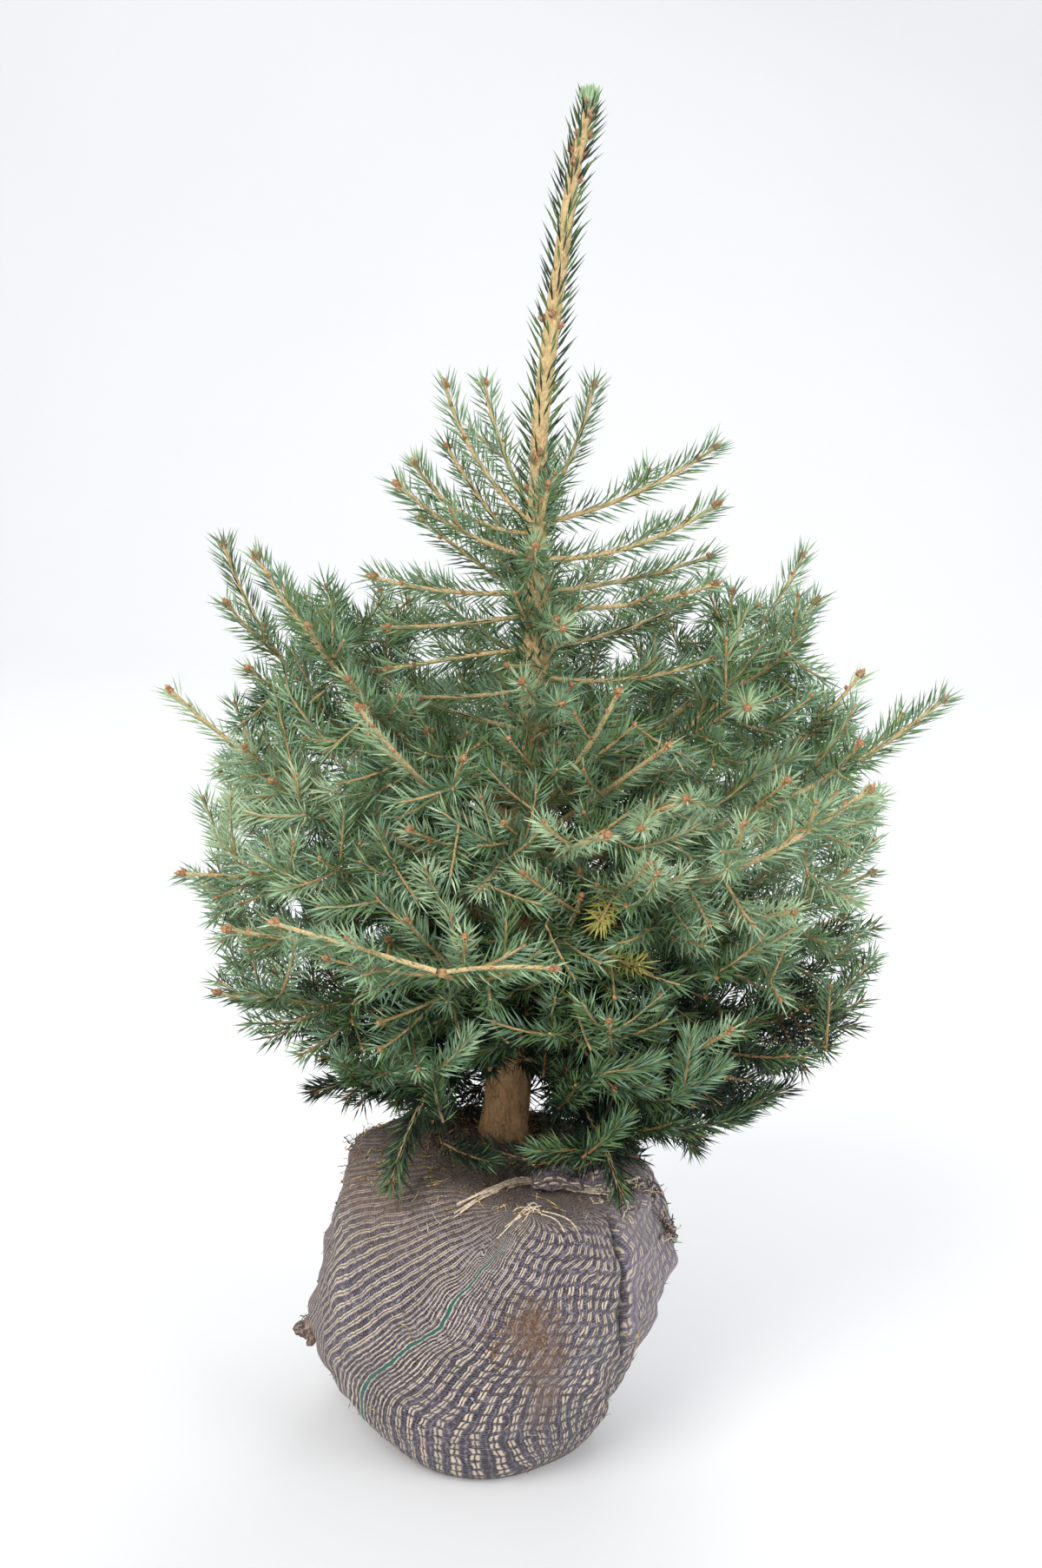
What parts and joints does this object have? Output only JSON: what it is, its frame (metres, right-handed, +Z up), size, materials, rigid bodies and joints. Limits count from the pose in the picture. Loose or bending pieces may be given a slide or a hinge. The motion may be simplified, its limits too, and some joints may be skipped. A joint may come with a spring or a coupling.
{
  "type": "spruce sapling with root ball",
  "caption": "Young blue-green spruce with a bare upright leader and a bushy lower crown, standing on a root ball wrapped in woven sacking.",
  "frame": {"origin": "middle of the flat underside of the root ball, at floor level", "axes": "+Z up along the trunk, +X to the tree's right seen from its front, -Y towards its front"},
  "size_m": [0.5073, 0.4137, 0.903],
  "materials": {
    "sacking": "matte",
    "bark": "matte",
    "bough_bark": "matte",
    "leader_needles": "matte",
    "needles": "matte"
  },
  "bodies": {
    "root": {"root_ball": "sacking", "sacking_roll": "sacking", "sacking_corner": "sacking", "trunk": "bark", "pruned_stub": "bough_bark", "bough_left_high": "bough_bark", "bough_back_left_high": "bough_bark", "bough_left_middle": "bough_bark", "bough_right_high": "bough_bark", "bough_right_middle": "bough_bark", "bough_front_right_middle": "bough_bark", "bough_back_right_high": "bough_bark", "bough_back_right_top": "bough_bark", "bough_back_left_top": "bough_bark", "bough_right_low": "bough_bark", "bough_left_low": "bough_bark", "bough_front_left_fork": "bough_bark", "leader_needles": "leader_needles", "foliage_tier_1": "needles", "foliage_tier_2": "needles", "foliage_tier_3": "needles", "foliage_tier_4": "needles", "foliage_left_high": "needles", "foliage_back_left_high": "needles", "foliage_left_middle": "needles", "foliage_right_high": "needles", "foliage_right_middle": "needles", "foliage_front_right_middle": "needles", "foliage_back_right_high": "needles", "foliage_back_right_top": "needles", "foliage_back_left_top": "needles", "foliage_right_low": "needles", "foliage_left_low": "needles", "foliage_front_left_high": "needles", "foliage_right_upper": "needles", "foliage_front_high": "needles", "foliage_front_right_high": "needles", "foliage_front_middle": "needles", "foliage_front_left_middle": "needles", "foliage_back_middle": "needles", "foliage_back_left_middle": "needles", "foliage_back_right_middle": "needles", "foliage_back_low": "needles", "foliage_left_foot": "needles", "foliage_left_under": "needles", "foliage_front_upright": "needles", "foliage_right_under": "needles", "foliage_right_foot": "needles", "foliage_front_right_foot": "needles", "foliage_front_right_level": "needles", "foliage_front_right_star": "needles", "foliage_hanging_front": "needles", "foliage_hanging_right": "needles", "foliage_back_right_foot": "needles", "foliage_hanging_left": "needles", "foliage_back_left_foot": "needles", "foliage_back_foot": "needles", "foliage_back_left_hem": "needles", "foliage_fork_left": "needles", "foliage_fork_right": "needles"}
  },
  "joints": []
}
